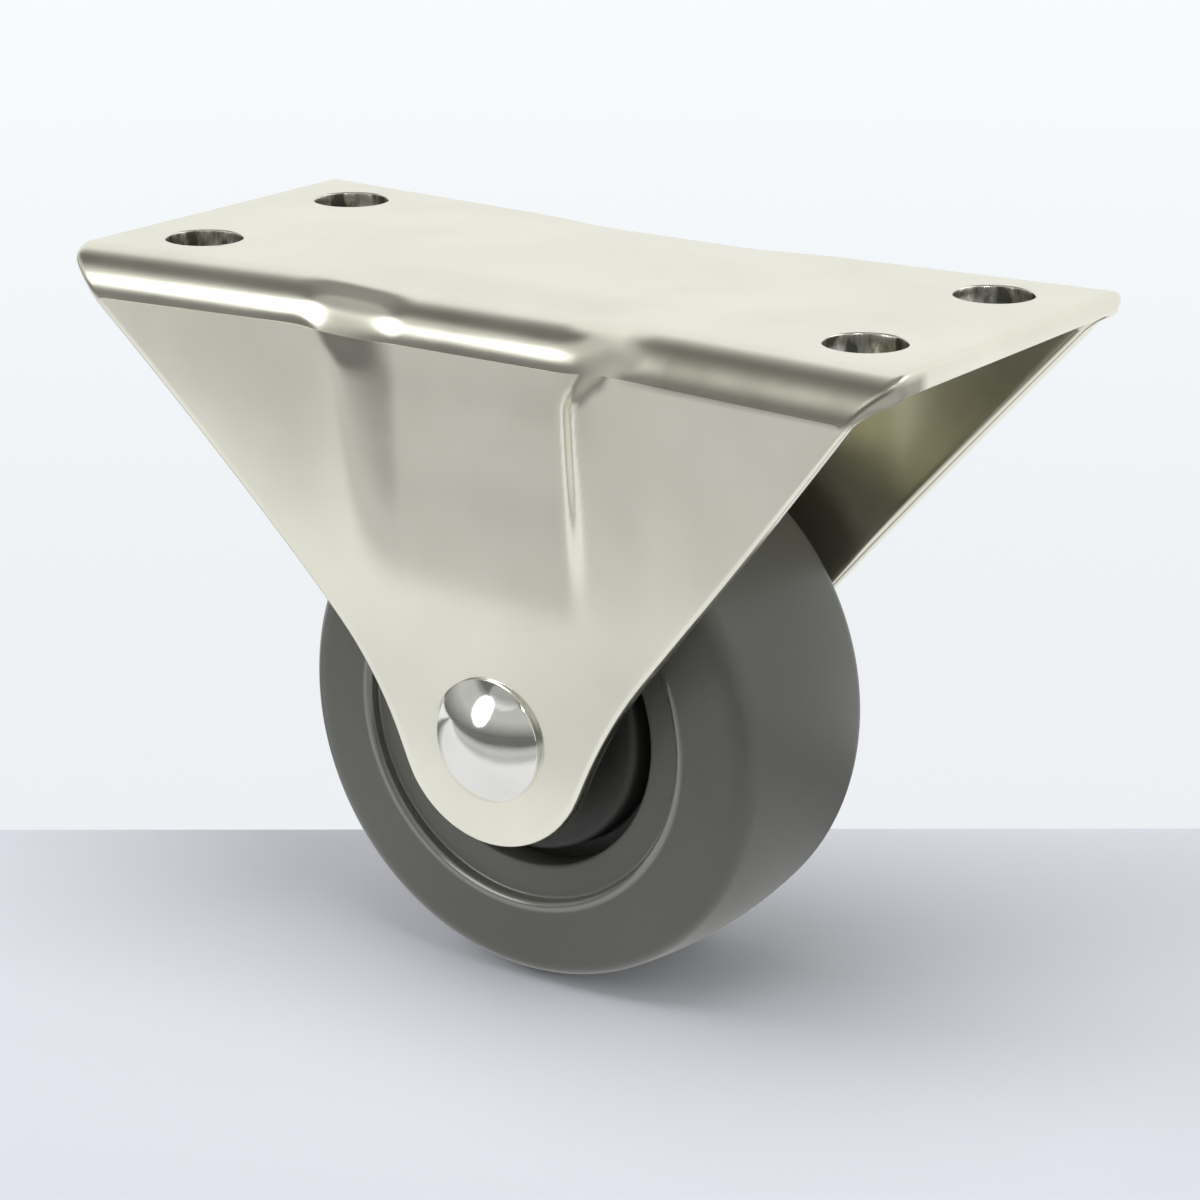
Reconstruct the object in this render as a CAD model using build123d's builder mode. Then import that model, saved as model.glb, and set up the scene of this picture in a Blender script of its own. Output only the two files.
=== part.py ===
from build123d import *
import math
import os

# A light-duty rigid plate castor. Millimetres, +Z up. The origin is the centre of the plate's
# mounting face, +X runs along the plate in the rolling direction, and the wheel turns about Y.

# Overall sizes
plate_length = 88.6
wheel_diameter = 50.8
axle_drop = 41.25  # from the mounting face to the axle
sheet = 2.1  # thickness of the pressed steel

# The fork's top plate, waisted between its two ends
end_half_width = 23.0
waist_half_width = 20.6
waist_reach = 17.5  # how far from the middle the narrow stretch runs
fold_radius = 4.1  # outside the bend between plate and leg
plate_corner_radius = 2.6

# The recess pressed into the middle of each bend, to stiffen it
recess_depth = 2.1  # into the leg, at the bend
recess_front_dip = 0.9  # down from the plate at the front bend, on the side of the rivet head
recess_back_dip = 0.3  # down from the plate at the back bend
recess_floor_reach = 9.8
recess_wall_run = 3.6
recess_plate_reach = 11.3  # how far in from the waist the dip starts on the plate
recess_plate_ease = 3.7  # how much of that the dip takes to turn down
recess_bottom_drop = 20.0
recess_bottom_depth = 0.8

# The legs
leg_spread = 30.9  # across the outer faces at the axle
leg_tip_radius = 10.35
leg_knee_reach = 12.8
leg_knee_rise = 3.65  # above the axle
leg_knee_ease = 0.79  # how much of the edge between knee and tip the knee's curve takes
leg_shoulder_set_back = 0.2  # the leg's slanted edge starts this far in from the plate's end
leg_bend_ease = 6.7  # how softly the leg turns to run level with the wheel
boss_margin = 0.6  # flat left above the rivet head

# Screw holes in the plate
hole_spacing_x = 71.8
hole_spacing_y = 22.2
hole_diameter = 7.2

# The axle rivet
shank_diameter = 6.0
head_diameter = 11.7
head_height = 3.0
head_rim = 0.5
tail_diameter = 9.6
tail_height = 2.2
shank_clearance = 0.05  # radial, in the legs and in the sleeve

# The spacer sleeve that the wheel turns on
sleeve_wall = 1.5

# The wheel
running_clearance = 0.08  # radial, between sleeve and hub
side_play = 0.35  # between each end of the hub and its leg
hub_boss_radius = 7.2
hub_radius = 12.3
hub_half_width = 9.8
hub_edge_radius = 0.6
groove_radius = 13.8
groove_depth = 3.4
rib_radius = 16.4  # the rib that keys the core into the tyre
ring_radius = 17.0
ring_recess = 1.1
side_half_width = 10.9  # where the tyre's side is proudest, at the ring
tread_half_width = 10.3
tread_corner_radius = 2.6
tread_crown = 0.9
ring_edge_radius = 0.4

# Values that follow from the sizes above
leg_outer = leg_spread / 2
leg_inner = leg_outer - sheet
wheel_radius = wheel_diameter / 2
shank_radius = shank_diameter / 2
sleeve_bore_radius = shank_radius + shank_clearance
sleeve_radius = sleeve_bore_radius + sleeve_wall
hub_bore_radius = sleeve_radius + running_clearance
boss_top_drop = axle_drop - head_diameter / 2 - boss_margin
half_length = plate_length / 2
end_overrun = 2.0  # the formed sheet runs past the outline that trims it
same_spot = 0.001  # two points nearer than this are one


def plate_half_width(x):
    """Half the fork's width at the plate, without the recess."""
    share = max(0.0, abs(x) - waist_reach) / (half_length - waist_reach)
    return waist_half_width + (end_half_width - waist_half_width) * share


def recess_share(x):
    """1 on the floor of the recess, 0 past its wall, with a smooth step between them."""
    step = (abs(x) - recess_floor_reach) / recess_wall_run
    step = min(1.0, max(0.0, step))
    return 1 - step * step * (3 - 2 * step)


def inward(way):
    """The unit normal on the inner side of a skin that runs this way."""
    return Vector(way.Y, -way.X).normalized()


def inset_corner(corner, way_in, way_out, inset):
    """A corner between two straight stretches, moved with them to the inner side."""
    mitre = (inward(way_in) + inward(way_out)).normalized()
    return corner + mitre * (inset / mitre.dot(inward(way_in)))


def skin_lines(x, inset, side, dip):
    """Draw a section's skin at x from its middle to one side: plate, dip, bend, leg and boss."""
    share = recess_share(x)
    level = Vector(1, 0)
    down = Vector(0, -1)
    dip_start = Vector(waist_half_width - recess_plate_reach, 0)
    dip_turn = dip_start + level * recess_plate_ease
    fold = Vector(plate_half_width(x) - recess_depth * share, -dip * share)
    boss_top = Vector(leg_outer, -boss_top_drop)
    along = (recess_bottom_drop + fold.Y) / (boss_top_drop + fold.Y)
    waist = fold + (boss_top - fold) * along - level * recess_bottom_depth * share
    dip_way = (fold - dip_turn).normalized()
    leg_way = (waist - fold).normalized()
    tip = Vector(leg_outer, -axle_drop - leg_tip_radius - end_overrun)

    radius = fold_radius - inset
    corner = inset_corner(fold, dip_way, leg_way, inset)
    reach = radius * math.tan(math.radians(dip_way.get_angle(leg_way)) / 2)
    fold_start = corner - dip_way * reach
    fold_end = corner + leg_way * reach
    waist_in = waist + inward(leg_way) * inset
    boss_in = boss_top - level * inset
    tip_in = tip - level * inset
    start_in = dip_start + down * inset
    level_way = Vector(side * dip_way.X, dip_way.Y)
    ease = inset_corner(dip_turn, level, dip_way, inset)
    bend_start = waist_in + leg_way * leg_bend_ease
    bend_end = boss_in - down * leg_bend_ease
    skin = [start_in, ease, fold_start, fold_end, waist_in, bend_start, bend_end, boss_in, tip_in]
    skin = [Vector(side * point.X, point.Y) for point in skin]
    Line((0, -inset), skin[0])
    Bezier(*skin[0:3])
    TangentArc(skin[2], skin[3], tangent=level_way)
    Line(skin[3], skin[4])
    Bezier(*skin[4:8])
    Line(skin[7], skin[8])
    return skin[8]


# Stations along X for the fork's sections. The tapering wings are straight between theirs,
# and the middle, with both walls of the recess, is one smooth form.
wall_steps = 5
floor_station = 4.0
wall_stations = [
    recess_floor_reach + recess_wall_run * step / wall_steps for step in range(wall_steps + 1)
]
middle_reach = wall_stations[-1]
wing_stations = [middle_reach, waist_reach, half_length + end_overrun]
middle_stations = [floor_station] + wall_stations
middle_span = [-x for x in reversed(middle_stations)] + middle_stations
left_span = [-x for x in wing_stations]
form_spans = [(left_span, True), (middle_span, False), (wing_stations, True)]

with BuildPart() as formed_sheet:
    for span, straight in form_spans:
        for station in span:
            with BuildSketch(Plane.YZ.offset(station)):
                with BuildLine():
                    for side, dip in ((-1, recess_front_dip), (1, recess_back_dip)):
                        outer_tip = skin_lines(station, 0, side, dip)
                        inner_tip = skin_lines(station, sheet, side, dip)
                        Line(outer_tip, inner_tip)
                make_face()
        loft(ruled=straight)

# What the blanking leaves of that sheet: two tapering legs with a round tip, and the plate
knee = Vector(leg_knee_reach, leg_knee_rise - axle_drop)
to_axle = Vector(0, -axle_drop) - knee
touch_angle = math.degrees(math.asin(leg_tip_radius / to_axle.length))
touch_length = math.sqrt(to_axle.length**2 - leg_tip_radius**2)
touch = knee + to_axle.normalized().rotate(Axis.Z, touch_angle) * touch_length
shoulder = Vector(half_length - leg_shoulder_set_back, 0)
shoulder_top = shoulder + (shoulder - knee).normalized() * end_overrun
knee_turn = math.radians((knee - shoulder).get_angle(touch - knee))
knee_radius = leg_knee_ease * touch_length / math.tan(knee_turn / 2)
plate_blank_half_width = end_half_width - fold_radius / 2
plate_blank_depth = sheet + max(recess_front_dip, recess_back_dip)

with BuildPart() as blank:
    with BuildSketch(Plane.XZ):
        with BuildLine():
            Polyline(shoulder_top, knee, touch)
            ThreePointArc(touch, (0, -axle_drop - leg_tip_radius), (-touch.X, touch.Y))
            Polyline((-touch.X, touch.Y), (-knee.X, knee.Y), (-shoulder_top.X, shoulder_top.Y))
            Line((-shoulder_top.X, shoulder_top.Y), shoulder_top)
        face = make_face()
        knees = face.vertices().filter_by(lambda corner: abs(abs(corner.X) - knee.X) < same_spot)
        fillet(knees, knee_radius)
    extrude(amount=end_half_width + end_overrun, both=True)
    with BuildSketch(Plane.XY.offset(end_overrun)):
        RectangleRounded(plate_length, 2 * plate_blank_half_width, plate_corner_radius)
    extrude(amount=-end_overrun - plate_blank_depth)

with BuildPart() as fork:
    add(formed_sheet.part)
    add(blank.part, mode=Mode.INTERSECT)
    with BuildSketch(Plane.XY):
        with GridLocations(hole_spacing_x, hole_spacing_y, 2, 2):
            Circle(hole_diameter / 2)
    extrude(amount=-plate_blank_depth, mode=Mode.SUBTRACT)
    with BuildSketch(Plane.XZ):
        with Locations((0, -axle_drop)):
            Circle(shank_radius + shank_clearance)
    extrude(amount=leg_spread, both=True, mode=Mode.SUBTRACT)
fork.part.label = "fork"

# Turned pieces: a half section, drawn as distance along the axle and radius, is revolved
axle_line = Axis((0, 0, -axle_drop), (0, 1, 0))
axle_section = Plane(origin=(0, 0, -axle_drop), x_dir=(0, 1, 0), z_dir=(1, 0, 0))


def dome_radius(base_radius, height):
    """The radius of a shallow dome that stands this high on this base."""
    return (base_radius**2 + height**2) / (2 * height)


def section_corners(section, half_width, radius):
    """The two corners of a turned section at this distance from its middle and this radius."""
    spots = [Vector(half_width, radius), Vector(-half_width, radius)]
    return section.vertices().filter_by(
        lambda corner: min((Vector(corner.X, corner.Y) - spot).length for spot in spots) < same_spot
    )


with BuildPart() as axle_rivet:
    with BuildSketch(axle_section):
        with BuildLine():
            head_radius = head_diameter / 2
            head_base = -leg_outer - head_rim
            head_top = -leg_outer - head_height
            Line((head_top, 0), (leg_outer + tail_height, 0))
            head_dome = dome_radius(head_radius, head_height - head_rim)
            RadiusArc((head_top, 0), (head_base, head_radius), head_dome)
            Polyline((head_base, head_radius), (-leg_outer, head_radius), (-leg_outer, shank_radius))
            Line((-leg_outer, shank_radius), (leg_outer, shank_radius))
            Line((leg_outer, shank_radius), (leg_outer, tail_diameter / 2))
            tail_dome = dome_radius(tail_diameter / 2, tail_height)
            RadiusArc((leg_outer, tail_diameter / 2), (leg_outer + tail_height, 0), tail_dome)
        make_face()
    revolve(axis=axle_line)
axle_rivet.part.label = "axle_rivet"

with BuildPart() as axle_sleeve:
    with BuildSketch(Plane.XZ):
        with Locations((0, -axle_drop)):
            Circle(sleeve_radius)
            Circle(sleeve_bore_radius, mode=Mode.SUBTRACT)
    extrude(amount=leg_inner, both=True)
axle_sleeve.part.label = "axle_sleeve"

# The wheel's core turns on the sleeve. Its rib keys it into the tyre moulded round it.
hub_boss_half_width = leg_inner - side_play
groove_floor = hub_half_width - groove_depth
ring_face = side_half_width - ring_recess

with BuildPart() as wheel_core:
    with BuildSketch(axle_section) as core_section:
        with BuildLine():
            Polyline(
                (0, hub_bore_radius),
                (hub_boss_half_width, hub_bore_radius),
                (hub_boss_half_width, hub_boss_radius),
                (hub_half_width, hub_boss_radius),
                (hub_half_width, hub_radius),
                (groove_floor, hub_radius),
                (groove_floor, rib_radius),
                (0, rib_radius),
            )
            mirror(about=Plane.YZ)
        make_face()
        fillet(section_corners(core_section, hub_half_width, hub_radius), hub_edge_radius)
    revolve(axis=axle_line)
wheel_core.part.label = "wheel_core"

with BuildPart() as tyre:
    with BuildSketch(axle_section) as tyre_section:
        with BuildLine():
            Polyline(
                (0, rib_radius),
                (groove_floor, rib_radius),
                (groove_floor, groove_radius),
                (ring_face, groove_radius),
                (ring_face, ring_radius),
                (side_half_width, ring_radius),
                (tread_half_width, wheel_radius - tread_crown),
            )
            RadiusArc(
                (tread_half_width, wheel_radius - tread_crown),
                (0, wheel_radius),
                -dome_radius(tread_half_width, tread_crown),
            )
            mirror(about=Plane.YZ)
        make_face()
        fillet(section_corners(tyre_section, side_half_width, ring_radius), ring_edge_radius)
        tread_edge = wheel_radius - tread_crown
        fillet(section_corners(tyre_section, tread_half_width, tread_edge), tread_corner_radius)
    revolve(axis=axle_line)
tyre.part.label = "tyre"

os.makedirs("parts", exist_ok=True)
for piece in (fork, axle_rivet, axle_sleeve, wheel_core, tyre):
    export_step(piece.part, f"parts/{piece.part.label}.step")
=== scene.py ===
import bpy
import math
from mathutils import Matrix, Vector


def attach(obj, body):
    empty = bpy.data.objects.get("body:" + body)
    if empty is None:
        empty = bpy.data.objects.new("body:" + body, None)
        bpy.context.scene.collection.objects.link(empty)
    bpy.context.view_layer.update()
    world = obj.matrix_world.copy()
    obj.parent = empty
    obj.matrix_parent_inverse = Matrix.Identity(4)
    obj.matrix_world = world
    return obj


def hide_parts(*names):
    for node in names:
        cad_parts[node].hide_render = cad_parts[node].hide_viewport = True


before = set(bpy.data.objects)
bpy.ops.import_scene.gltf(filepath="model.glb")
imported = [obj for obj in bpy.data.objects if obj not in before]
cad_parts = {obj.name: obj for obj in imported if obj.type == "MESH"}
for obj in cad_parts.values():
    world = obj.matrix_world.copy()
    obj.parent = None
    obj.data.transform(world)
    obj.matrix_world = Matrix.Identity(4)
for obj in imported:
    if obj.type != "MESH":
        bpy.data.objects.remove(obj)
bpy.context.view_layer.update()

MM = 0.001
AXLE_DROP = 41.25
AXLE = Vector((0, 0, -AXLE_DROP * MM))
WHEEL_RADIUS = 25.4
FLOOR = -(AXLE_DROP + WHEEL_RADIUS) * MM


def smooth_step(value, low, high):
    """An eased share from 0 at the low value to 1 at the high value."""
    share = min(1.0, max(0.0, (value - low) / (high - low)))
    return share * share * (3 - 2 * share)


def soft_min(a, b, softness):
    """The smaller of two values, rounded off where they are nearly equal."""
    share = max(0.0, softness - abs(a - b)) / softness
    return min(a, b) - share * share * softness / 4


def way_towards(azimuth, elevation):
    """The direction to a camera or lamp at these angles in degrees."""
    azimuth, elevation = math.radians(azimuth), math.radians(elevation)
    return Vector((
        math.sin(azimuth) * math.cos(elevation),
        -math.cos(azimuth) * math.cos(elevation),
        math.sin(elevation),
    ))


# Camera

def add_camera():
    """The camera as fitted to the photo, with lengths in millimetres."""
    back = way_towards(34.4311, 17.6343)
    roll = math.radians(0.2667)
    target = Vector((2.5101, -1.2780, -31.1405))
    distance = 338.7678
    focal_pixels, photo_width, sensor_width = 3651.2101, 1200, 36
    bpy.ops.object.camera_add(location=target * MM + back * distance * MM)
    camera = bpy.context.object
    turn = back.to_track_quat("Z", "Y").to_matrix()
    camera.rotation_euler = (turn @ Matrix.Rotation(roll, 3, "Z")).to_euler()
    camera.data.lens = focal_pixels * sensor_width / photo_width
    camera.data.clip_start = 0.01
    bpy.context.scene.camera = camera


# Modelling helpers

def start_piece(name):
    piece = bpy.context.object
    piece.name = name
    piece.data.name = name
    return piece


def clear_selection():
    bpy.ops.object.select_all(action="DESELECT")


def apply_place(piece):
    clear_selection()
    piece.select_set(True)
    bpy.context.view_layer.objects.active = piece
    bpy.ops.object.transform_apply(location=True, rotation=True, scale=True)


def finish_modifiers(piece):
    bpy.context.view_layer.objects.active = piece
    for modifier in list(piece.modifiers):
        bpy.ops.object.modifier_apply(modifier=modifier.name)


def rounded(corners):
    """A profile's points from its corners (across, radius, round, steps) in millimetres."""
    points = []
    for index, (across, radius, round_by, steps) in enumerate(corners):
        here = Vector((across, radius))
        if round_by == 0:
            points.append(here)
            continue
        before = Vector(corners[index - 1][:2])
        after = Vector(corners[(index + 1) % len(corners)][:2])
        way_in = (here - before).normalized()
        way_out = (after - here).normalized()
        turn = way_in.angle(way_out)
        reach = round_by * math.tan(turn / 2)
        start = here - way_in * reach
        end = here + way_out * reach
        for step in range(steps + 1):
            share = step / steps
            points.append(start.lerp(here, share).lerp(here.lerp(end, share), share))
    return points


def turn_on_lathe(name, points, closed, sides):
    """Draw a ring out of a circle along a profile of (across, radius) points about the axle."""
    smallest = 0.01  # a circle can't be resized out of a radius of zero
    across, radius = points[0][0], max(points[0][1], smallest)
    clear_selection()
    bpy.ops.mesh.primitive_circle_add(
        vertices=sides,
        radius=radius * MM,
        location=AXLE + Vector((0, across * MM, 0)),
        rotation=(math.pi / 2, 0, 0),
    )
    piece = start_piece(name)
    apply_place(piece)
    bpy.ops.object.mode_set(mode="EDIT")
    bpy.ops.mesh.select_mode(type="EDGE")
    bpy.ops.mesh.select_all(action="SELECT")
    for point in points[1:]:
        wanted = max(point[1], smallest)
        bpy.ops.mesh.extrude_edges_move(
            TRANSFORM_OT_translate={"value": (0, (point[0] - across) * MM, 0)}
        )
        grow = wanted / radius
        centre = AXLE + Vector((0, point[0] * MM, 0))
        bpy.ops.transform.resize(value=(grow, 1, grow), center_override=centre)
        across, radius = point[0], wanted
    bpy.ops.mesh.select_all(action="SELECT")
    # A closed profile ends on its first circle. An open one starts and ends on the axle.
    bpy.ops.mesh.remove_doubles(threshold=0.000002 if closed else 0.00003)
    bpy.ops.mesh.normals_make_consistent(inside=False)
    bpy.ops.object.mode_set(mode="OBJECT")
    return piece


def smooth_by_angle(piece, degrees):
    clear_selection()
    piece.select_set(True)
    bpy.context.view_layer.objects.active = piece
    bpy.ops.object.shade_smooth_by_angle(angle=math.radians(degrees))


# The pressed fork

# All sizes of the fork are in millimetres.
SHEET = 2.1
HALF_LENGTH = 44.3
WAIST = 20.6  # half the plate's width at its waist
WAIST_END = 15.5  # where the plate starts to widen towards its ends
WIDENING = 2.4 / 26.8
FOLD = 4.1  # the bend's outer radius
BOSS_DROP = 34.8  # from the plate to the middle of the bend above the flat boss
LEG_OUTER = 15.45  # the boss's outer face
TIP = 10.35  # the round tip's radius
EDGE_TOP = 44.1  # where the leg's slanted edge meets the plate's level
EDGE_START = 4.6  # how far down the slanted edge starts, under the bend
KNEE_X = 12.8
KNEE_DROP = 37.6
KNEE = Vector((KNEE_X, -KNEE_DROP))
KNEE_REACH = 6.6  # how far the knee's curve reaches along both edges
HOLE_X = 35.9
HOLE_Y = 11.1
HOLE_RADIUS = 3.6

COLUMNS = 132
LEG_ROWS = 44
FOLD_ROWS = 14
PLATE_ROWS = 24
ROWS = 2 * (LEG_ROWS + FOLD_ROWS) + PLATE_ROWS
TIP_SWEEP = math.radians(50)
FREE = 1.0  # a strip beside the border kept free of other rows and columns
TIP_STEP = FREE / TIP


def half_width(x):
    """Half the plate's width at this place, to the corner where its faces would meet."""
    beyond = max(0.0, abs(x) - WAIST_END)
    ease = 4.0
    if beyond < ease:
        beyond = beyond * beyond / (2 * ease)
    else:
        beyond = beyond - ease / 2
    return WAIST + beyond * WIDENING


def bend_turn(width):
    """How far the sheet turns from the plate into the leg, which leans in towards the boss."""
    return math.pi / 2 + math.atan((width - LEG_OUTER) / BOSS_DROP)


def recess_press(x, drop, front):
    """How far the recess is pressed into the bend and the leg at this place."""
    deep = 2.1 - 0.6 * smooth_step(drop, 3.0, 14.0) - 1.5 * smooth_step(drop, 10.5, 29.0)
    if not front:
        return 0.5 * deep * (1 - smooth_step(abs(x), 6.5, 18.5))
    spread_out = 1 - smooth_step(drop, 2.4, 7.0)
    if x < 0:
        return deep * (1 - smooth_step(-x, 8.6 - 0.8 * spread_out, 14.0 + 3.4 * spread_out))
    wall = 1 - smooth_step(x, 9.4 + 1.6 * spread_out, 12.0 + 7.5 * spread_out)
    flare = 0.5 * (1 - smooth_step(x, 12.0, 18.0)) * (1 - smooth_step(drop, 3.0, 13.0))
    return deep * wall + flare * (1 - wall)


def recess_dip(x, front):
    """How far the plate's edge dips into the recess."""
    if not front:
        return 0.15 * (1 - smooth_step(abs(x), 6.5, 18.5))
    reach = 19.0 if x < 0 else 17.5
    return 1.0 * (1 - smooth_step(abs(x), 9.0, reach))


def outline_reach(drop):
    """How far the fork reaches along X at this drop, down to the round tip."""
    slope = (EDGE_TOP - KNEE_X) / KNEE_DROP
    edge = EDGE_TOP - slope * drop + 0.5 * (1 - smooth_step(drop, 0, 3))
    return soft_min(HALF_LENGTH, edge, 1.0)


def leg_edge(inset):
    """Points down one slanted edge, rounded at the knee, to the side of the tip."""
    to_axle = Vector((0, -AXLE_DROP)) - KNEE
    opening = math.asin(TIP / to_axle.length)
    run = math.sqrt(to_axle.length ** 2 - TIP ** 2)
    way = to_axle.normalized()
    way.rotate(Matrix.Rotation(opening, 2))
    touch = KNEE + way * run
    down = (KNEE - Vector((EDGE_TOP, 0))).normalized()
    knee_in = KNEE - down * KNEE_REACH
    knee_out = KNEE + way * KNEE_REACH
    points = []
    edge_steps, knee_steps, tip_steps = 200, 40, 30
    for step in range(edge_steps):
        drop = EDGE_START + (-knee_in.y - EDGE_START) * step / edge_steps
        points.append(Vector((outline_reach(drop), -drop)))
    for step in range(knee_steps + 1):
        share = step / knee_steps
        points.append(knee_in.lerp(KNEE, share).lerp(KNEE.lerp(knee_out, share), share))
    points.append(touch)
    sweep = TIP_SWEEP + (TIP_STEP if inset else 2 * TIP_STEP)
    touch_turn = math.atan2(touch.x, -(touch.y + AXLE_DROP))
    for step in range(1, tip_steps + 1):
        angle = touch_turn + (sweep - touch_turn) * step / tip_steps
        points.append(Vector((TIP * math.sin(angle), -AXLE_DROP - TIP * math.cos(angle))))
    moved = []
    for index, point in enumerate(points):
        way = points[min(index + 1, len(points) - 1)] - points[max(index - 1, 0)]
        inward = Vector((way.y, -way.x)).normalized()
        moved.append(point + inward * inset)
    return moved


def along(points, share):
    """The point at this share of the length of a line of points."""
    lengths = [0.0]
    for a, b in zip(points, points[1:]):
        lengths.append(lengths[-1] + (b - a).length)
    wanted = share * lengths[-1]
    for index in range(1, len(points)):
        if lengths[index] >= wanted:
            length = max(lengths[index] - lengths[index - 1], 1e-9)
            part = (wanted - lengths[index - 1]) / length
            return points[index - 1].lerp(points[index], part)
    return points[-1].copy()


def leg_surface(x, drop):
    """How far the leg's outer face stands out: leaning, then upright at the boss."""
    width = half_width(x)
    slope = (width - LEG_OUTER) / BOSS_DROP
    ease = 7.0
    into_bend = (drop - BOSS_DROP + ease) / (2 * ease)
    if into_bend <= 0:
        return width - slope * drop
    if into_bend >= 1:
        return LEG_OUTER
    top = width - slope * (BOSS_DROP - ease)
    return top - slope * 2 * ease * (into_bend - into_bend * into_bend / 2)


def column_share(column):
    """Where a column stands between the free strips beside the two borders, from -1 to 1."""
    return min(1.0, max(-1.0, 2 * (column - 1) / (COLUMNS - 2) - 1))


def on_border(column):
    """Whether a column is the first or the last one."""
    return column in (0, COLUMNS)


def leg_spot(index, column, outer_edge, inner_edge):
    """A grid corner's place along X and down the leg, in rows that curve into the tip."""
    even = column_share(column)
    side = -1 if even < 0 else 1
    if index == 0:
        sweep = TIP_SWEEP
        if on_border(column):
            sweep = TIP_SWEEP + TIP_STEP
        turn = math.asin(even * math.sin(sweep))
        return TIP * math.sin(turn), AXLE_DROP + TIP * math.cos(turn), 1.0
    share = 1 - (index - 1) / (LEG_ROWS - 1)
    if on_border(column):
        spot = along(outer_edge, share)
        return side * spot.x, -spot.y, share
    spot = along(inner_edge, share)
    sweep = TIP_SWEEP + TIP_STEP
    hang = (TIP - FREE) * (1 - math.cos(sweep)) * share
    bow = (1 - math.sqrt(1 - (even * math.sin(sweep)) ** 2)) / (1 - math.cos(sweep))
    return even * spot.x, -spot.y + hang * (1 - bow), share


def column_place(column, reach):
    """A column's place along X where the sheet reaches this far."""
    if on_border(column):
        return reach * column_share(column)
    return column_share(column) * (reach - FREE)


def fork_point(row, column, edges, inset):
    """Where a grid corner goes on the pressed sheet's outer or inner skin, in millimetres."""
    front = row <= ROWS / 2
    index = row if front else ROWS - row
    side = -1 if front else 1
    if index <= LEG_ROWS:
        x, drop, share = leg_spot(index, column, *edges)
        fold_end = FOLD - FOLD * math.cos(bend_turn(half_width(x)))
        drop = drop + (fold_end - EDGE_START) * (1 - share)
        near = 0.05
        above, below = leg_surface(x, drop - near), leg_surface(x, drop + near)
        lean = math.atan((above - below) / (2 * near))
        away = leg_surface(x, drop) - recess_press(x, drop, front)
        away -= inset * math.cos(lean)
        drop -= inset * math.sin(lean)
        drop += recess_dip(x, front) * (1 - smooth_step(share, 0.0, 0.35))
        return Vector((x, side * away, -drop))
    if index <= LEG_ROWS + FOLD_ROWS:
        share = 1 - (index - LEG_ROWS) / FOLD_ROWS
        usual_turn = math.radians(98)
        drop_guess = FOLD * (1 - math.cos(share * usual_turn))
        x = column_place(column, outline_reach(drop_guess))
        width = half_width(x)
        end_turn = bend_turn(width)
        turn = end_turn * share
        centre = width - FOLD * math.tan(end_turn / 2)
        away = centre + (FOLD - inset) * math.sin(turn)
        drop = FOLD - (FOLD - inset) * math.cos(turn)
        away -= recess_press(x, FOLD * (1 - math.cos(turn)), front)
        drop += recess_dip(x, front)
        return Vector((x, side * away, -drop))
    share = (index - LEG_ROWS - FOLD_ROWS) / (PLATE_ROWS / 2)
    x = column_place(column, outline_reach(0))
    width = half_width(x)
    start = width - FOLD * math.tan(bend_turn(width) / 2) - recess_press(x, 0, front)
    away = start * (1 - share)
    dip = recess_dip(x, front) * smooth_step(away, 8.2, 14.6)
    return Vector((x, side * away, -dip - inset))


def press_skin(edges, inset):
    """A grid pressed into one face of the folded sheet, this far in from the outer face."""
    clear_selection()
    bpy.ops.mesh.primitive_grid_add(
        x_subdivisions=COLUMNS, y_subdivisions=ROWS, size=2, location=(0, 0, 0)
    )
    skin = start_piece("pressed_fork")
    for vertex in skin.data.vertices:
        column = round((vertex.co.x + 1) / 2 * COLUMNS)
        row = round((vertex.co.y + 1) / 2 * ROWS)
        vertex.co = fork_point(row, column, edges, inset) * MM
    return skin


def press_fork():
    """Both skins of the folded sheet, closed by a rim whose edges are rounded."""
    edges = (leg_edge(0), leg_edge(FREE))
    piece = press_skin(edges, 0)
    lining = press_skin(edges, SHEET)
    bpy.ops.object.mode_set(mode="EDIT")
    bpy.ops.mesh.select_all(action="SELECT")
    bpy.ops.mesh.flip_normals()
    bpy.ops.object.mode_set(mode="OBJECT")
    skins = len(piece.data.polygons) * 2
    clear_selection()
    lining.select_set(True)
    piece.select_set(True)
    bpy.context.view_layer.objects.active = piece
    bpy.ops.object.join()
    bpy.ops.object.mode_set(mode="EDIT")
    bpy.ops.mesh.select_mode(type="EDGE")
    bpy.ops.mesh.select_all(action="DESELECT")
    bpy.ops.mesh.select_non_manifold()
    bpy.ops.mesh.bridge_edge_loops()
    bpy.ops.mesh.select_all(action="DESELECT")
    bpy.ops.object.mode_set(mode="OBJECT")
    for polygon in piece.data.polygons:
        polygon.select = polygon.index >= skins
    bpy.ops.object.mode_set(mode="EDIT")
    bpy.ops.mesh.select_mode(type="FACE")
    bpy.ops.mesh.region_to_loop()
    rim_round = 0.5
    bpy.ops.mesh.bevel(offset=rim_round * MM, segments=4, profile=0.5, affect="EDGES")
    bpy.ops.mesh.select_all(action="SELECT")
    bpy.ops.mesh.normals_make_consistent(inside=False)
    bpy.ops.object.mode_set(mode="OBJECT")
    return piece


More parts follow.
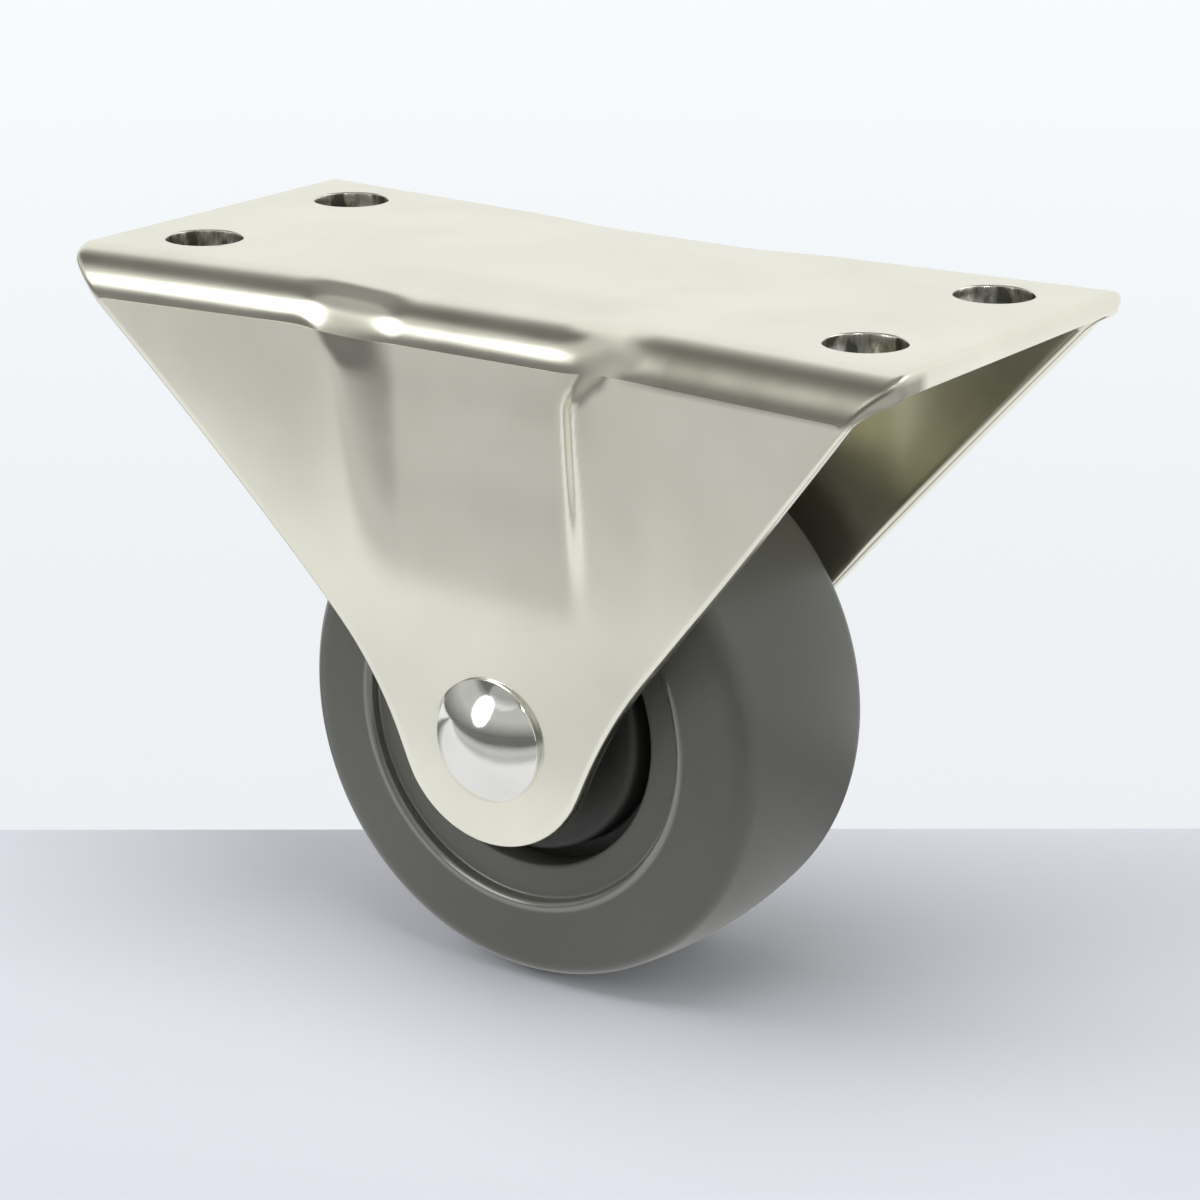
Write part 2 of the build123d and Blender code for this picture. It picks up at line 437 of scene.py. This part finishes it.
def cut_holes(piece):
    """Cut the four screw holes with cutters that are wider at both faces of the sheet."""
    spots = [(x, y) for x in (-HOLE_X, HOLE_X) for y in (-HOLE_Y, HOLE_Y)]
    profile = [(height, HOLE_RADIUS + wider) for height, wider in (
        (-4.0, 0.2), (-SHEET, 0.2), (-SHEET + 0.1, 0.06), (-SHEET + 0.25, 0),
        (-0.25, 0), (-0.11, 0.04), (-0.04, 0.1), (0.0, 0.16), (0.6, 1.06),
    )]
    cutters = []
    for x, y in spots:
        clear_selection()
        bpy.ops.mesh.primitive_circle_add(
            vertices=72, radius=profile[0][1] * MM, fill_type="NGON",
            location=(x * MM, y * MM, profile[0][0] * MM),
        )
        cutter = start_piece("hole_cutter")
        apply_place(cutter)
        bpy.ops.object.mode_set(mode="EDIT")
        bpy.ops.mesh.select_all(action="SELECT")
        height, radius = profile[0]
        for next_height, next_radius in profile[1:]:
            bpy.ops.mesh.extrude_region_move(
                TRANSFORM_OT_translate={"value": (0, 0, (next_height - height) * MM)}
            )
            grow = next_radius / radius
            bpy.ops.transform.resize(
                value=(grow, grow, 1), center_override=(x * MM, y * MM, next_height * MM)
            )
            height, radius = next_height, next_radius
        bpy.ops.mesh.select_all(action="SELECT")
        bpy.ops.mesh.normals_make_consistent(inside=False)
        bpy.ops.object.mode_set(mode="OBJECT")
        cutters.append(cutter)
    clear_selection()
    for cutter in cutters:
        cutter.select_set(True)
    bpy.context.view_layer.objects.active = cutters[0]
    bpy.ops.object.join()
    hole = piece.modifiers.new("hole", "BOOLEAN")
    hole.object = cutters[0]
    hole.operation = "DIFFERENCE"
    hole.solver = "EXACT"
    clear_selection()
    piece.select_set(True)
    finish_modifiers(piece)
    bpy.data.objects.remove(cutters[0])


def make_fork():
    """The pressed fork, with torn steel on the walls of its punched holes."""
    piece = press_fork()
    cut_holes(piece)
    smooth_by_angle(piece, 28)
    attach(piece, "frame")
    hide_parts("fork")
    piece.data.materials.append(zinc_steel())
    piece.data.materials.append(sheared_steel())
    for polygon in piece.data.polygons:
        spot = polygon.center / MM
        off_hole = math.hypot(abs(spot.x) - HOLE_X, abs(spot.y) - HOLE_Y)
        on_wall = off_hole < HOLE_RADIUS + 0.06 and abs(polygon.normal.z) < 0.75
        if on_wall:
            polygon.material_index = 1
    return piece


# The axle rivet

def dome(radius, rise, steps):
    """A dome's profile from its top to its rim, as (depth below the top, radius) pairs."""
    ball = (radius * radius + rise * rise) / (2 * rise)
    crown = math.asin(radius / ball)
    turns = [crown * step / steps for step in range(steps + 1)]
    return [(ball * (1 - math.cos(turn)), ball * math.sin(turn)) for turn in turns]


def make_rivet():
    """A polished head on the near leg, a shank through both legs and a low, clenched tail."""
    face = -LEG_OUTER
    head, head_height, skirt = 5.85, 3.0, 0.55
    tail, tail_height = 4.8, 2.2
    shank = 3.0
    cap = [
        Vector((face - head_height + depth, radius))
        for depth, radius in dome(head, head_height - skirt, 24)
    ]
    points = cap[:-1]
    points += rounded([
        (*cap[-2], 0, 0),
        (face - skirt, head, 0.22, 5),
        (face - 0.02, head - 0.05, 0, 0),
    ])[1:]
    points += [Vector((face + 0.02, shank)), Vector((LEG_OUTER, shank))]
    points.append(Vector((LEG_OUTER + 0.01, tail - 0.3)))
    points += [
        Vector((LEG_OUTER + tail_height - depth, radius))
        for depth, radius in reversed(dome(tail, tail_height, 16))
    ]
    piece = turn_on_lathe("axle_rivet_polished", points, closed=False, sides=144)
    smooth_by_angle(piece, 40)
    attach(piece, "frame")
    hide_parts("axle_rivet")
    piece.data.materials.append(bright_steel())
    return piece


# The sleeve and the wheel

WEB = 6.4  # half the thickness of the hub's disc
WEB_RADIUS = 16.4  # where the hub's disc ends inside the tyre
GROOVE_EDGE = 9.8  # how far the raised parts on both sides of the groove reach


def make_sleeve():
    """A tube between the legs that the hub turns on."""
    inner = LEG_OUTER - SHEET
    bore, outside = 3.05, 4.55
    points = rounded([
        (-inner, bore, 0.15, 3), (inner, bore, 0.15, 3),
        (inner, outside, 0.25, 4), (-inner, outside, 0.25, 4),
    ])
    points.append(points[0])
    piece = turn_on_lathe("spacer_sleeve", points, closed=True, sides=96)
    smooth_by_angle(piece, 40)
    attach(piece, "frame")
    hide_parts("axle_sleeve")
    piece.data.materials.append(zinc_steel())
    return piece


def mirrored_ring(half):
    """Close a profile by adding its mirror image across the wheel's middle."""
    points = half + [Vector((-point.x, point.y)) for point in reversed(half)]
    points.append(points[0])
    return points


def make_core():
    """The hub: a boss on the sleeve, a raised face around it and a disc inside the tyre."""
    bore, boss_reach = 4.63, 13.0
    half = rounded([
        (0.0, bore, 0, 0),
        (boss_reach, bore, 0.25, 3),
        (boss_reach, 7.2, 0.6, 5),
        (GROOVE_EDGE, 7.35, 0.5, 5),
        (GROOVE_EDGE, 12.3, 0.9, 8),
        (WEB, 12.45, 0.3, 4),
        (WEB, WEB_RADIUS, 0, 0),
        (0.0, WEB_RADIUS, 0, 0),
    ])
    piece = turn_on_lathe("hub_core", mirrored_ring(half), closed=True, sides=160)
    smooth_by_angle(piece, 40)
    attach(piece, "wheel")
    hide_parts("wheel_core")
    piece.data.materials.append(dark_plastic())
    return piece


def make_tyre():
    """The tyre: an arched tread, flat sides and a step down to the ring beside the groove."""
    crown, reach = 0.9, 10.3
    arc = (reach * reach + crown * crown) / (2 * crown)
    tread = []
    tread_half, tread_steps = 8.0, 12
    for step in range(tread_steps + 1):
        across = tread_half * (1 - step / tread_steps)
        height = WHEEL_RADIUS - arc + math.sqrt(arc * arc - across * across)
        tread.append(Vector((across, height)))
    half = rounded([
        (0.0, WEB_RADIUS, 0, 0),
        (WEB, WEB_RADIUS, 0, 0),
        (WEB, 13.9, 0.35, 4),
        (GROOVE_EDGE, 13.8, 0.45, 6),
        (GROOVE_EDGE, 17.0, 0.25, 4),
        (10.9, 17.1, 0.85, 12),
        (10.35, 24.55, 2.5, 20),
        (7.9, 24.87, 0, 0),
    ])
    piece = turn_on_lathe("tyre_moulded", mirrored_ring(half[:-1] + tread), closed=True, sides=192)
    smooth_by_angle(piece, 40)
    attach(piece, "wheel")
    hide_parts("tyre")
    piece.data.materials.append(grey_rubber())
    return piece


# Materials

def new_material(name):
    """A material with its node tree and shader, which are None if it is made already."""
    if name in bpy.data.materials:
        return bpy.data.materials[name], None, None
    material = bpy.data.materials.new(name)
    material.use_nodes = True
    return material, material.node_tree, material.node_tree.nodes["Principled BSDF"]


def feed(tree, socket, value):
    """Link a socket to another one, or set its value."""
    if isinstance(value, bpy.types.NodeSocket):
        tree.links.new(value, socket)
    else:
        socket.default_value = value


def spread(tree, value, low, high, to_low, to_high):
    """Map the range from low to high onto another one, and clamp what lies outside."""
    node = tree.nodes.new("ShaderNodeMapRange")
    limits = (("From Min", low), ("From Max", high), ("To Min", to_low), ("To Max", to_high))
    for name, limit in limits:
        feed(tree, node.inputs[name], limit)
    feed(tree, node.inputs["Value"], value)
    return node.outputs["Result"]


def calculate(tree, operation, first, second):
    node = tree.nodes.new("ShaderNodeMath")
    node.operation = operation
    feed(tree, node.inputs[0], first)
    feed(tree, node.inputs[1], second)
    return node.outputs[0]


def blend(tree, share, first, second):
    """Go from the first level to the second one as the share goes from 0 to 1."""
    node = tree.nodes.new("ShaderNodeMix")
    feed(tree, node.inputs[0], share)
    feed(tree, node.inputs[2], first)
    feed(tree, node.inputs[3], second)
    return node.outputs[0]


def blend_colours(tree, share, first, second, mode="MIX"):
    node = tree.nodes.new("ShaderNodeMix")
    node.data_type = "RGBA"
    node.blend_type = mode
    feed(tree, node.inputs[0], share)
    feed(tree, node.inputs[6], first)
    feed(tree, node.inputs[7], second)
    return node.outputs[2]


def along_direction(tree, place, direction):
    """How far a place lies along a direction."""
    node = tree.nodes.new("ShaderNodeVectorMath")
    node.operation = "DOT_PRODUCT"
    node.inputs[1].default_value = direction
    tree.links.new(place, node.inputs[0])
    return node.outputs["Value"]


def colour_ramp(tree, value, stops):
    """The colour at this value between (position, colour) stops."""
    node = tree.nodes.new("ShaderNodeValToRGB")
    tree.links.new(value, node.inputs["Fac"])
    elements = node.color_ramp.elements
    for element, (position, colour) in zip(elements, (stops[0], stops[-1])):
        element.position = position
        element.color = (*colour, 1)
    for position, colour in stops[1:-1]:
        elements.new(position).color = (*colour, 1)
    return node.outputs["Color"]


def start_group(name, inputs, outputs):
    """A new shader group with named sockets, with its given values and its results."""
    group = bpy.data.node_groups.new(name, "ShaderNodeTree")
    for socket_name, kind, value in inputs:
        socket = group.interface.new_socket(
            socket_name, in_out="INPUT", socket_type="NodeSocket" + kind
        )
        if value is not None:
            socket.default_value = value
    for socket_name, kind in outputs:
        group.interface.new_socket(
            socket_name, in_out="OUTPUT", socket_type="NodeSocket" + kind
        )
    given = group.nodes.new("NodeGroupInput").outputs
    result = group.nodes.new("NodeGroupOutput").inputs
    return group, given, result


def group_noise(group, given):
    """Noise from the group's own Place, Stretch, Scale and Detail."""
    mapping = group.nodes.new("ShaderNodeMapping")
    group.links.new(given["Place"], mapping.inputs["Vector"])
    group.links.new(given["Stretch"], mapping.inputs["Scale"])
    noise = group.nodes.new("ShaderNodeTexNoise")
    group.links.new(mapping.outputs["Vector"], noise.inputs["Vector"])
    group.links.new(given["Scale"], noise.inputs["Scale"])
    group.links.new(given["Detail"], noise.inputs["Detail"])
    return noise.outputs["Fac"]


def build_mottled_finish():
    """Cloudy patches that change a finish's colour and roughness a little over the surface."""
    group, given, result = start_group("mottled_finish", (
        ("Place", "Vector", None),
        ("Stretch", "Vector", (1, 1, 1)),
        ("Scale", "Float", 100),
        ("Detail", "Float", 3),
        ("Cloud Low", "Float", 0.3),
        ("Cloud High", "Float", 0.7),
        ("First Colour", "Color", (0.4, 0.4, 0.4, 1)),
        ("Second Colour", "Color", (0.5, 0.5, 0.5, 1)),
        ("First Roughness", "Float", 0.4),
        ("Second Roughness", "Float", 0.5),
    ), (("Colour", "Color"), ("Roughness", "Float"), ("Cloud", "Float")))
    cloud = group_noise(group, given)
    patch = spread(group, cloud, given["Cloud Low"], given["Cloud High"], 0, 1)
    group.links.new(
        blend_colours(group, patch, given["First Colour"], given["Second Colour"]),
        result["Colour"],
    )
    group.links.new(
        spread(group, patch, 0, 1, given["First Roughness"], given["Second Roughness"]),
        result["Roughness"],
    )
    group.links.new(patch, result["Cloud"])
    return group


def build_fine_relief():
    """Small bumps all over a surface."""
    group, given, result = start_group("fine_relief", (
        ("Place", "Vector", None),
        ("Stretch", "Vector", (1, 1, 1)),
        ("Scale", "Float", 500),
        ("Detail", "Float", 3),
        ("Strength", "Float", 0.1),
        ("Distance", "Float", 0.0002),
    ), (("Normal", "Vector"),))
    bump = group.nodes.new("ShaderNodeBump")
    group.links.new(group_noise(group, given), bump.inputs["Height"])
    group.links.new(given["Strength"], bump.inputs["Strength"])
    group.links.new(given["Distance"], bump.inputs["Distance"])
    group.links.new(bump.outputs["Normal"], result["Normal"])
    return group


def build_ring_mask():
    """White on the rings about the axle whose radius lies between two values."""
    group, given, result = start_group("ring_mask", (
        ("Place", "Vector", None),
        ("Inner Radius", "Float", 0.01),
        ("Outer Radius", "Float", 0.02),
        ("Softness", "Float", 0.0005),
    ), (("Mask", "Float"),))
    centred = group.nodes.new("ShaderNodeMapping")
    centred.inputs["Location"].default_value = (0, 0, AXLE_DROP * MM)
    centred.inputs["Scale"].default_value = (1, 0, 1)
    group.links.new(given["Place"], centred.inputs["Vector"])
    radius = group.nodes.new("ShaderNodeVectorMath")
    radius.operation = "LENGTH"
    group.links.new(centred.outputs["Vector"], radius.inputs[0])
    edges = []
    for name, outside, inside in (
        ("Inner Radius", "SUBTRACT", "ADD"), ("Outer Radius", "ADD", "SUBTRACT"),
    ):
        low, high = (
            calculate(group, operation, given[name], given["Softness"])
            for operation in (outside, inside)
        )
        edges.append(spread(group, radius.outputs["Value"], low, high, 0, 1))
    group.links.new(calculate(group, "MULTIPLY", *edges), result["Mask"])
    return group


def build_painted_fold_shade():
    """A mask for painted shade on the front fold, right of the recess: darker, duller plating
    painted in for the fold's grey reflection there.
    """
    group, given, result = start_group("painted_fold_shade", (
        ("Place", "Vector", None),
        ("Start", "Float", 0.016),
        ("Full", "Float", 0.021),
        ("Lowest", "Float", -0.005),
    ), (("Mask", "Float"),))
    split = group.nodes.new("ShaderNodeSeparateXYZ")
    group.links.new(given["Place"], split.inputs["Vector"])
    under = calculate(group, "SUBTRACT", given["Lowest"], 0.0008)
    patches = group.nodes.new("ShaderNodeTexNoise")
    patches.inputs["Scale"].default_value = 240
    patches.inputs["Detail"].default_value = 3
    group.links.new(given["Place"], patches.inputs["Vector"])
    shares = (
        spread(group, split.outputs["X"], given["Start"], given["Full"], 0, 1),
        spread(group, split.outputs["Y"], -0.0150, -0.0165, 0, 1),
        spread(group, split.outputs["Z"], under, given["Lowest"], 0, 1),
        spread(group, split.outputs["Z"], -0.0002, -0.0010, 0, 1),
        spread(group, patches.outputs["Fac"], 0.30, 0.70, 0.86, 1),
    )
    mask = shares[0]
    for share in shares[1:]:
        mask = calculate(group, "MULTIPLY", mask, share)
    group.links.new(mask, result["Mask"])
    return group


def put_group(tree, name, build, values):
    """Place a shared group in a material with its own values, built on its first use."""
    node = tree.nodes.new("ShaderNodeGroup")
    node.node_tree = bpy.data.node_groups.get(name) or build()
    place = tree.nodes.new("ShaderNodeTexCoord").outputs["Object"]
    tree.links.new(place, node.inputs["Place"])
    for socket, value in values.items():
        node.inputs[socket].default_value = value
    return node.outputs


def put_finish(tree, shader, values):
    finish = put_group(tree, "mottled_finish", build_mottled_finish, values)
    tree.links.new(finish["Colour"], shader.inputs["Base Color"])
    tree.links.new(finish["Roughness"], shader.inputs["Roughness"])


def put_relief(tree, shader, values):
    relief = put_group(tree, "fine_relief", build_fine_relief, values)
    tree.links.new(relief["Normal"], shader.inputs["Normal"])


def zinc_steel():
    """Bright plated sheet, with painted shade on the front fold: a darker, duller patch that
    stands in for a grey reflection.
    """
    material, tree, shader = new_material("zinc_plated_sheet")
    if tree is None:
        return material
    shader.inputs["Metallic"].default_value = 1
    plating = put_group(tree, "mottled_finish", build_mottled_finish, {
        "Scale": 70, "Detail": 4,
        "First Colour": (0.83, 0.82, 0.71, 1), "Second Colour": (0.90, 0.89, 0.78, 1),
    })
    haze = put_group(tree, "mottled_finish", build_mottled_finish, {
        "Stretch": (1, 1, 0.6), "Scale": 110, "Detail": 5,
        "First Roughness": 0.16, "Second Roughness": 0.25,
    })
    fold_shade_mask = put_group(tree, "painted_fold_shade", build_painted_fold_shade, {
        "Start": 0.0160, "Full": 0.0220, "Lowest": -0.0040,
    })["Mask"]
    # Painted shade: this tint darkens the front fold's patch and this roughness dulls it, in place
    # of a grey reflection.
    painted_shade_tint, shade_patch_roughness = (0.44, 0.44, 0.42, 1), 0.42
    tree.links.new(
        blend_colours(tree, fold_shade_mask, plating["Colour"], painted_shade_tint, "MULTIPLY"),
        shader.inputs["Base Color"],
    )
    tree.links.new(
        blend(tree, fold_shade_mask, haze["Roughness"], shade_patch_roughness), shader.inputs["Roughness"]
    )
    put_relief(tree, shader, {"Scale": 55, "Detail": 2, "Strength": 0.1, "Distance": 0.0006})
    return material


def sheared_steel():
    """The walls of the punched holes: torn in part, so darker and rougher than the plating."""
    material, tree, shader = new_material("punched_hole_wall")
    if tree is None:
        return material
    shader.inputs["Metallic"].default_value = 1
    torn = {"Stretch": (1, 1, 0.4), "Scale": 700, "Detail": 4}
    put_finish(tree, shader, {
        **torn, "Cloud Low": 0.42, "Cloud High": 0.62,
        "First Colour": (0.10, 0.10, 0.08, 1), "Second Colour": (0.62, 0.61, 0.55, 1),
        "First Roughness": 0.5, "Second Roughness": 0.25,
    })
    put_relief(tree, shader, {**torn, "Strength": 0.5, "Distance": 0.0003})
    return material


def bright_steel():
    material, tree, shader = new_material("polished_rivet_steel")
    if tree is None:
        return material
    shader.inputs["Metallic"].default_value = 1
    put_finish(tree, shader, {
        "Scale": 300,
        "First Colour": (0.81, 0.81, 0.78, 1), "Second Colour": (0.87, 0.87, 0.84, 1),
        "First Roughness": 0.07, "Second Roughness": 0.12,
    })
    put_relief(tree, shader, {"Scale": 700, "Detail": 2, "Strength": 0.05})
    return material


def dark_plastic():
    material, tree, shader = new_material("moulded_hub_plastic")
    if tree is None:
        return material
    put_finish(tree, shader, {
        "Scale": 220, "Detail": 4,
        "First Colour": (0.020, 0.022, 0.017, 1), "Second Colour": (0.031, 0.034, 0.027, 1),
        "First Roughness": 0.42, "Second Roughness": 0.55,
    })
    put_relief(tree, shader, {"Scale": 2500, "Detail": 2, "Strength": 0.15})
    return material


def grey_rubber():
    """Moulded rubber, glossier on the lip of its inner ring and on its outer corner."""
    material, tree, shader = new_material("moulded_grey_rubber")
    if tree is None:
        return material
    skin = put_group(tree, "mottled_finish", build_mottled_finish, {
        "Scale": 60, "Detail": 4,
        "First Colour": (0.107, 0.107, 0.091, 1), "Second Colour": (0.123, 0.123, 0.106, 1),
        "First Roughness": 0.42, "Second Roughness": 0.50,
    })
    lip = put_group(tree, "ring_mask", build_ring_mask, {
        "Inner Radius": 0.01685, "Outer Radius": 0.0180, "Softness": 0.00015,
    })
    corner = put_group(tree, "ring_mask", build_ring_mask, {
        "Inner Radius": 0.0230, "Outer Radius": 0.0249, "Softness": 0.0009,
    })
    corner_roughness = 0.30
    tree.links.new(skin["Colour"], shader.inputs["Base Color"])
    tree.links.new(
        blend(tree, corner["Mask"], skin["Roughness"], corner_roughness),
        shader.inputs["Roughness"],
    )
    tree.links.new(lip["Mask"], shader.inputs["Coat Weight"])
    shader.inputs["Coat Roughness"].default_value = 0.13
    shader.inputs["Coat IOR"].default_value = 2.1
    put_relief(tree, shader, {"Scale": 1800, "Strength": 0.12})
    return material


# Studio

def linear(*levels):
    """A light level per channel from the 0 to 255 that the picture should show."""
    return tuple((level / 255) ** 2.2 for level in levels)


def add_floor():
    """A pale floor whose far edge lies across the view just behind the wheel."""
    view = Vector((-0.5655, 0.8247, 0))
    across = Vector((0.8247, 0.5655, 0)) + view * 0.016
    under_target = Vector((2.51, -1.28, 0))
    behind = 32.8
    edge = under_target * MM + view * behind * MM
    half_across, depth = 1.6, 3.0  # in metres
    clear_selection()
    bpy.ops.mesh.primitive_plane_add(size=2, location=(0, 0, FLOOR))
    floor = start_piece("floor")
    corners = [
        edge + across * half_across * side - view * far
        for far in (depth, 0) for side in (-1, 1)
    ]
    for vertex, corner in zip(floor.data.vertices, corners):
        vertex.co = (corner.x, corner.y, 0)
    material, tree, shader = new_material("pale_floor")
    shader.inputs["Base Color"].default_value = (*linear(216, 219, 228), 1)
    shader.inputs["Roughness"].default_value = 0.8
    floor.data.materials.append(material)


def add_lamp(name, azimuth, elevation, distance, size, power, height=None):
    """An oval area lamp that faces the castor from this direction."""
    way = way_towards(azimuth, elevation)
    aim = Vector((0, 0, -0.02))
    bpy.ops.object.light_add(type="AREA", location=way * distance + aim)
    lamp = bpy.context.object
    lamp.name = name
    lamp.rotation_euler = way.to_track_quat("Z", "Y").to_euler()
    lamp.data.shape = "ELLIPSE"
    lamp.data.size = size
    lamp.data.size_y = height or size
    lamp.data.energy = power
    return lamp


def add_glowing_reflection_sheet():
    """A glowing sheet over the floor that only reflections show, for painted reflections: pale at
    the wheel, dark in front.
    """
    clear_selection()
    bpy.ops.mesh.primitive_plane_add(size=3, location=(0, -1.3, FLOOR + 0.0005))
    sheet = start_piece("glowing_reflection_sheet")
    apply_place(sheet)
    material, tree, shader = new_material("glowing_reflection_sheet")
    shader.inputs["Base Color"].default_value = (0, 0, 0, 1)
    shader.inputs["Roughness"].default_value = 1
    shader.inputs["Emission Strength"].default_value = 1
    place = tree.nodes.new("ShaderNodeTexCoord").outputs["Object"]
    forward = along_direction(tree, place, (0.35, -1, 0))
    # Painted reflections: the sheet's glow is set band by band along the forward direction, and no
    # lamp lights it.
    inner_levels = (
        (0.04, 0.80), (0.09, 0.18), (0.14, 0.18), (0.23, 0.82), (0.45, 0.87), (0.475, 0.78),
        (0.505, 0.58), (0.54, 0.50), (0.60, 0.58), (0.68, 0.55), (0.75, 0.44),
    )
    levels = colour_ramp(tree, spread(tree, forward, -0.060, 0.180, 0, 1), (
        (0.0, (0.90, 0.90, 0.90)),
        *((position, (level, level, level * 1.01)) for position, level in inner_levels),
        (1.0, (0.12, 0.12, 0.12)),
    ))
    tree.links.new(levels, shader.inputs["Emission Color"])
    sheet.data.materials.append(material)
    sheet.visible_camera = False
    sheet.visible_shadow = False
    sheet.visible_diffuse = False


def room_light(tree, height, inner_levels, blue):
    """The room's light from straight down to straight up, a little warmer between its ends."""
    return colour_ramp(tree, height, (
        (0.0, (0.84, 0.86, 0.88)),
        *((position, (level, level, level * blue)) for position, level in inner_levels),
        (1.0, (0.30, 0.30, 0.29)),
    ))


def light_world():
    """A pale backdrop for the camera, and a studio room for the light and the reflections."""
    world = bpy.data.worlds.new("studio")
    bpy.context.scene.world = world
    world.use_nodes = True
    tree = world.node_tree
    background = tree.nodes["Background"]
    way = tree.nodes.new("ShaderNodeTexCoord").outputs["Generated"]
    split = tree.nodes.new("ShaderNodeSeparateXYZ")
    tree.links.new(way, split.inputs["Vector"])
    backdrop = colour_ramp(tree, spread(tree, split.outputs["Z"], -0.36, -0.145, 0, 1), (
        (0.0, linear(236, 240, 243)),
        (0.35, linear(239, 242, 245)),
        (0.75, linear(245, 248, 251)),
        (1.0, linear(249, 250, 252)),
    ))
    height = spread(tree, split.outputs["Z"], -1, 1, 0, 1)
    behind = room_light(tree, height, ((0.62, 0.91), (0.86, 0.89), (0.92, 0.24)), 0.98)
    ahead = room_light(tree, height, (
        (0.46, 0.80), (0.50, 0.14), (0.58, 0.34), (0.68, 0.58), (0.81, 0.56), (0.87, 0.15),
        (0.93, 0.18),
    ), 0.96)
    facing = along_direction(tree, way, (-0.25, -0.97, 0))
    room = blend_colours(tree, spread(tree, facing, -0.10, 0.22, 0, 1), behind, ahead)
    rays = tree.nodes.new("ShaderNodeLightPath").outputs
    tree.links.new(
        blend_colours(tree, rays["Is Camera Ray"], room, backdrop), background.inputs["Color"]
    )
    directly = calculate(tree, "MAXIMUM", rays["Is Camera Ray"], rays["Is Glossy Ray"])
    other_rays = 0.66
    tree.links.new(
        spread(tree, directly, 0, 1, other_rays, 1), background.inputs["Strength"]
    )


add_camera()
make_fork()
make_rivet()
make_sleeve()
make_core()
make_tyre()
add_floor()
light_world()
add_lamp("front_softbox", -24, 25, 2.0, 1.00, 6.6, 1.36)
add_lamp("overhead_softbox", 60, 80, 0.8, 0.60, 3.6).visible_glossy = False
add_lamp("left_fill", -70, 32, 0.60, 0.36, 1.1).visible_glossy = False
add_lamp("right_fill", 58, 44, 0.60, 0.10, 0.30).visible_diffuse = False
add_lamp("back_fill", 125, 38, 0.70, 0.50, 0.4)
add_lamp("top_card", 4, 54, 0.60, 0.50, 0.15)
add_glowing_reflection_sheet()

bpy.context.scene.view_settings.view_transform = "Standard"
